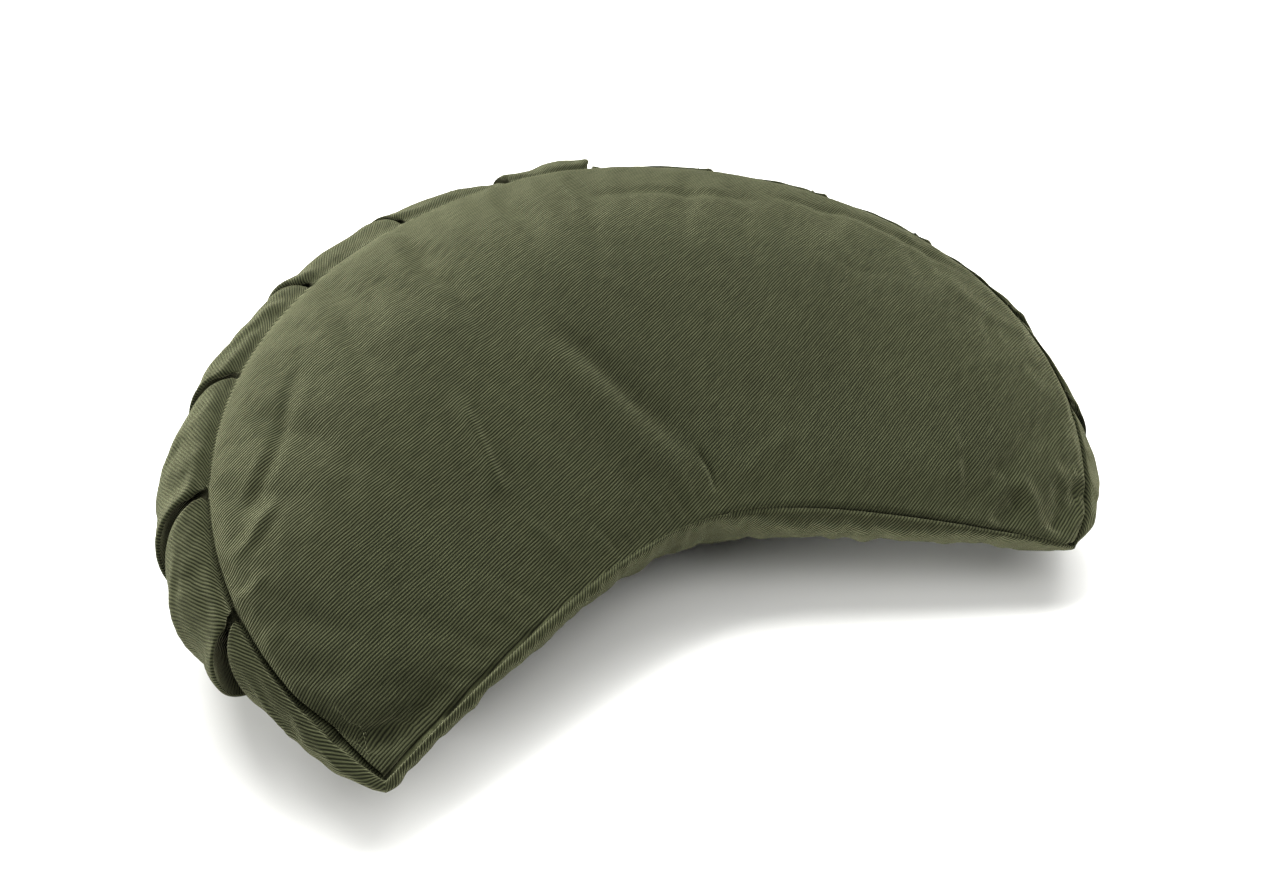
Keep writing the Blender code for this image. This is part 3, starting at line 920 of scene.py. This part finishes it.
def olive_cotton_twill(settings):
    """Heavy piece-dyed cotton twill: steep raised lines of yarn, matt, with a short fuzz; shade is painted
    into its colour between its lines and deep inside the folds.
    """
    material = bpy.data.materials.new("olive_cotton_twill")
    material.use_nodes = True
    tree = material.node_tree
    tree.nodes.clear()
    cloth = add_node(tree, "ShaderNodeUVMap", uv_map="weave")
    place = add_node(tree, "ShaderNodeTexCoord")
    # The lines wander by a fraction of a millimetre, as woven ones do
    drift = add_node(
        tree, "ShaderNodeTexNoise", {"Scale": WANDER_SCALE, "Detail": 2.0},
        {"Vector": cloth.outputs["UV"]})
    centred = add_node(
        tree, "ShaderNodeVectorMath", {1: (-0.5, -0.5, -0.5)}, {0: drift.outputs["Color"]},
        operation="ADD")
    wander = add_node(
        tree, "ShaderNodeVectorMath", {1: (WANDER, 0.0, 0.0)},
        {0: centred.outputs[0], 2: cloth.outputs["UV"]}, operation="MULTIPLY_ADD")
    # One raised line to a wale
    lines = add_node(
        tree, "ShaderNodeTexWave", {"Scale": WAVE_LENGTH / settings.wale},
        {"Vector": wander.outputs[0]}, wave_type="BANDS", bands_direction="X", wave_profile="SIN")
    # The yarns that make up a line lie aslant in it
    turned = add_node(
        tree, "ShaderNodeMapping", {"Rotation": (0.0, 0.0, YARN_ANGLE)},
        {"Vector": wander.outputs[0]})
    yarns = add_node(
        tree, "ShaderNodeTexWave", {"Scale": WAVE_LENGTH * YARNS_TO_A_WALE / settings.wale},
        {"Vector": turned.outputs[0]}, wave_type="BANDS", bands_direction="X", wave_profile="SIN")
    # Thick and thin places run along the yarn
    drawn = add_node(
        tree, "ShaderNodeMapping", {"Scale": (1.0 / SLUB_SIZE[0], 1.0 / SLUB_SIZE[1], 1.0)},
        {"Vector": cloth.outputs["UV"]})
    slub = add_node(
        tree, "ShaderNodeTexNoise", {"Scale": 1.0, "Detail": 3.0}, {"Vector": drawn.outputs[0]})
    # Dye and wear vary slowly over a hand's width
    mottle = add_node(
        tree, "ShaderNodeTexNoise", {"Scale": MOTTLE_SCALE, "Detail": 5.0, "Roughness": 0.6},
        {"Vector": place.outputs["Object"]})
    crest = add_node(
        tree, "ShaderNodeMath", {1: YARN_SHARE},
        {0: yarns.outputs["Fac"], 2: lines.outputs["Fac"]}, operation="MULTIPLY_ADD")
    uneven = add_node(
        tree, "ShaderNodeMapRange",
        {"From Min": 0.3, "From Max": 0.7, "To Min": 0.72, "To Max": 1.22},
        {"Value": slub.outputs["Fac"]})
    height = add_node(
        tree, "ShaderNodeMath", {}, {0: crest.outputs[0], 1: uneven.outputs[0]},
        operation="MULTIPLY")
    # The twill's own pattern of lines, with shade painted into the valleys between them: the colour goes
    # from the near black shade colour to the yarn colour as the bump's height rises
    painted_twill_shade = add_node(
        tree, "ShaderNodeMapRange", {"From Min": 0.05, "From Max": 1.25},
        {"Value": height.outputs[0]})
    colour = add_node(
        tree, "ShaderNodeMix", {6: (*settings.shade, 1.0), 7: (*settings.yarn, 1.0)},
        {0: painted_twill_shade.outputs[0]}, data_type="RGBA")
    worn = add_node(
        tree, "ShaderNodeMapRange",
        {"From Min": 0.35, "From Max": 0.65, "To Min": 0.90, "To Max": 1.10},
        {"Value": mottle.outputs["Fac"]})
    # Painted shade: the colour is darkened inside the folds, most where a fold goes furthest down, and this
    # is multiplied with the slow changes of dye and wear
    fold = add_node(tree, "ShaderNodeAttribute", attribute_name="fold")
    painted_fold_shade = add_node(
        tree, "ShaderNodeMapRange", {"To Min": 1.0, "To Max": FOLD_SHADE_TONE},
        {"Value": fold.outputs["Fac"]})
    value = add_node(
        tree, "ShaderNodeMath", {}, {0: worn.outputs[0], 1: painted_fold_shade.outputs[0]},
        operation="MULTIPLY")
    wear_and_fold_shade = add_node(
        tree, "ShaderNodeHueSaturation", {},
        {"Value": value.outputs[0], "Color": colour.outputs[2]})
    bump = add_node(
        tree, "ShaderNodeBump", {"Strength": 1.0, "Distance": LINE_HEIGHT},
        {"Height": height.outputs[0]})
    # The sheen is the short fuzz, which greys the cloth where it is seen aslant
    shader = add_node(
        tree, "ShaderNodeBsdfPrincipled",
        {"Roughness": 0.92, "Metallic": 0.0, "Specular IOR Level": 0.05, "Sheen Weight": 0.70,
         "Sheen Roughness": 0.35, "Sheen Tint": (*linear("b0b18c"), 1.0)},
        {"Base Color": wear_and_fold_shade.outputs[0], "Normal": bump.outputs[0]})
    add_node(tree, "ShaderNodeOutputMaterial", {}, {"Surface": shader.outputs[0]})
    return material


class CUSHION_OT_cover(bpy.types.Operator):
    """Sew, fill and finish the crescent cover"""

    bl_idname = "cushion.cover"
    bl_label = "Crescent cover"
    bl_options = {"REGISTER", "UNDO"}

    def execute(self, context):
        settings = context.scene.cushion
        cover = sew_cover()
        press_fill(cover, settings.pressure, settings.give)
        round_off(cover)
        dress_seams(cover, settings)
        cover.data.materials.append(olive_cotton_twill(settings))
        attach(cover, "root")
        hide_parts("cushion")
        return {"FINISHED"}


# The floor's side, and how far it lies below the cushion so that the two don't flicker
FLOOR_SIZE = 12.0
FLOOR_DROP = 0.0002

# The camera: the point that it looks at, its tilt to one side in radians, and the width of
# its sensor in millimetres
LOOK_AT = Vector((0.00084, -0.01716, 0.04667))
ROLL = 0.0033
SENSOR = 36.0
CLIP_START = 0.01

LIGHT_DISTANCE = 2.0

# The studio's soft lights. round: degrees from the right towards the back. up: degrees
# above the floor. side: length of each side. power: in watts.
LIGHTS = (
    {"name": "back", "round": 90.0, "up": 55.0, "side": 1.5, "power": 80.0},
    {"name": "back_left", "round": 138.0, "up": 14.0, "side": 1.0, "power": 35.0},
    {"name": "left", "round": 198.0, "up": 9.0, "side": 0.8, "power": 35.0},
    {"name": "front_right", "round": 305.0, "up": 56.0, "side": 1.5, "power": 21.0},
    {"name": "back_right", "round": 45.0, "up": 56.0, "side": 1.5, "power": 48.0},
)


def pale_floor():
    """Seamless white paper: matt, with nothing to see on it but the shadow."""
    bm = bmesh.new()
    bmesh.ops.create_grid(bm, x_segments=1, y_segments=1, size=FLOOR_SIZE / 2.0)
    bmesh.ops.translate(bm, verts=bm.verts, vec=(0.0, 0.0, -FLOOR_DROP))
    mesh = bpy.data.meshes.new("floor")
    bm.to_mesh(mesh)
    bm.free()
    floor = bpy.data.objects.new("floor", mesh)
    bpy.context.scene.collection.objects.link(floor)
    material = bpy.data.materials.new("white_paper")
    material.use_nodes = True
    shader = material.node_tree.nodes["Principled BSDF"]
    shader.inputs["Base Color"].default_value = (*linear("f2f2ef"), 1.0)
    shader.inputs["Roughness"].default_value = 0.9
    shader.inputs["Specular IOR Level"].default_value = 0.1
    mesh.materials.append(material)


def soft_light(row, share):
    """One of the studio's square soft lights, facing the cushion."""
    light = bpy.data.lights.new(row["name"], "AREA")
    light.energy = row["power"] * share
    light.size = row["side"]
    lamp = bpy.data.objects.new(row["name"], light)
    bpy.context.scene.collection.objects.link(lamp)
    turn, rise = math.radians(row["round"]), math.radians(row["up"])
    away = Vector((
        math.cos(turn) * math.cos(rise), math.sin(turn) * math.cos(rise), math.sin(rise)))
    lamp.location = LOOK_AT + away * LIGHT_DISTANCE
    lamp.rotation_euler = away.to_track_quat("Z", "Y").to_euler()


def photo_camera(stage):
    """The camera where the photograph's stood."""
    azimuth, elevation = stage.azimuth, stage.elevation
    back = Vector((
        math.sin(azimuth) * math.cos(elevation),
        -math.cos(azimuth) * math.cos(elevation),
        math.sin(elevation),
    ))
    right = Vector((0.0, 0.0, 1.0)).cross(back).normalized()
    turn = Matrix((right, back.cross(right), back)).transposed().to_4x4()
    data = bpy.data.cameras.new("camera")
    data.sensor_width = SENSOR
    data.lens = stage.lens
    data.clip_start = CLIP_START
    camera = bpy.data.objects.new("camera", data)
    bpy.context.scene.collection.objects.link(camera)
    place = Matrix.Translation(LOOK_AT + back * stage.distance)
    camera.matrix_world = place @ turn @ Matrix.Rotation(ROLL, 4, "Z")
    bpy.context.scene.camera = camera


class CUSHION_OT_stage(bpy.types.Operator):
    """Set up the pale floor, the soft lights and the camera"""

    bl_idname = "cushion.stage"
    bl_label = "Stage"
    bl_options = {"REGISTER", "UNDO"}

    def execute(self, context):
        stage = context.scene.cushion_stage
        pale_floor()
        for row in LIGHTS:
            soft_light(row, stage.power)
        world = bpy.data.worlds.new("surround")
        world.use_nodes = True
        surround = world.node_tree.nodes["Background"]
        surround.inputs["Color"].default_value = (1.0, 1.0, 1.0, 1.0)
        surround.inputs["Strength"].default_value = stage.sky
        context.scene.world = world
        context.scene.view_settings.view_transform = "Standard"
        photo_camera(stage)
        return {"FINISHED"}


class CUSHION_PT_panel(bpy.types.Panel):
    """Sizes, colours and steps of the cushion"""

    bl_label = "Crescent cushion"
    bl_idname = "CUSHION_PT_panel"
    bl_space_type = "VIEW_3D"
    bl_region_type = "UI"
    bl_category = "Cushion"

    def draw(self, context):
        layout = self.layout
        for group in (context.scene.cushion, context.scene.cushion_stage):
            for name in group.bl_rna.properties.keys():
                if name not in ("rna_type", "name"):
                    layout.prop(group, name)
        layout.operator(CUSHION_OT_cover.bl_idname)
        layout.operator(CUSHION_OT_stage.bl_idname)


CLASSES = (CushionSettings, StageSettings, CUSHION_OT_cover, CUSHION_OT_stage, CUSHION_PT_panel)


def register():
    for cls in CLASSES:
        bpy.utils.register_class(cls)
    bpy.types.Scene.cushion = PointerProperty(type=CushionSettings)
    bpy.types.Scene.cushion_stage = PointerProperty(type=StageSettings)


def unregister():
    del bpy.types.Scene.cushion_stage
    del bpy.types.Scene.cushion
    for cls in reversed(CLASSES):
        bpy.utils.unregister_class(cls)


def main():
    register()
    bpy.ops.cushion.cover()
    bpy.ops.cushion.stage()


if __name__ == "__main__":
    main()
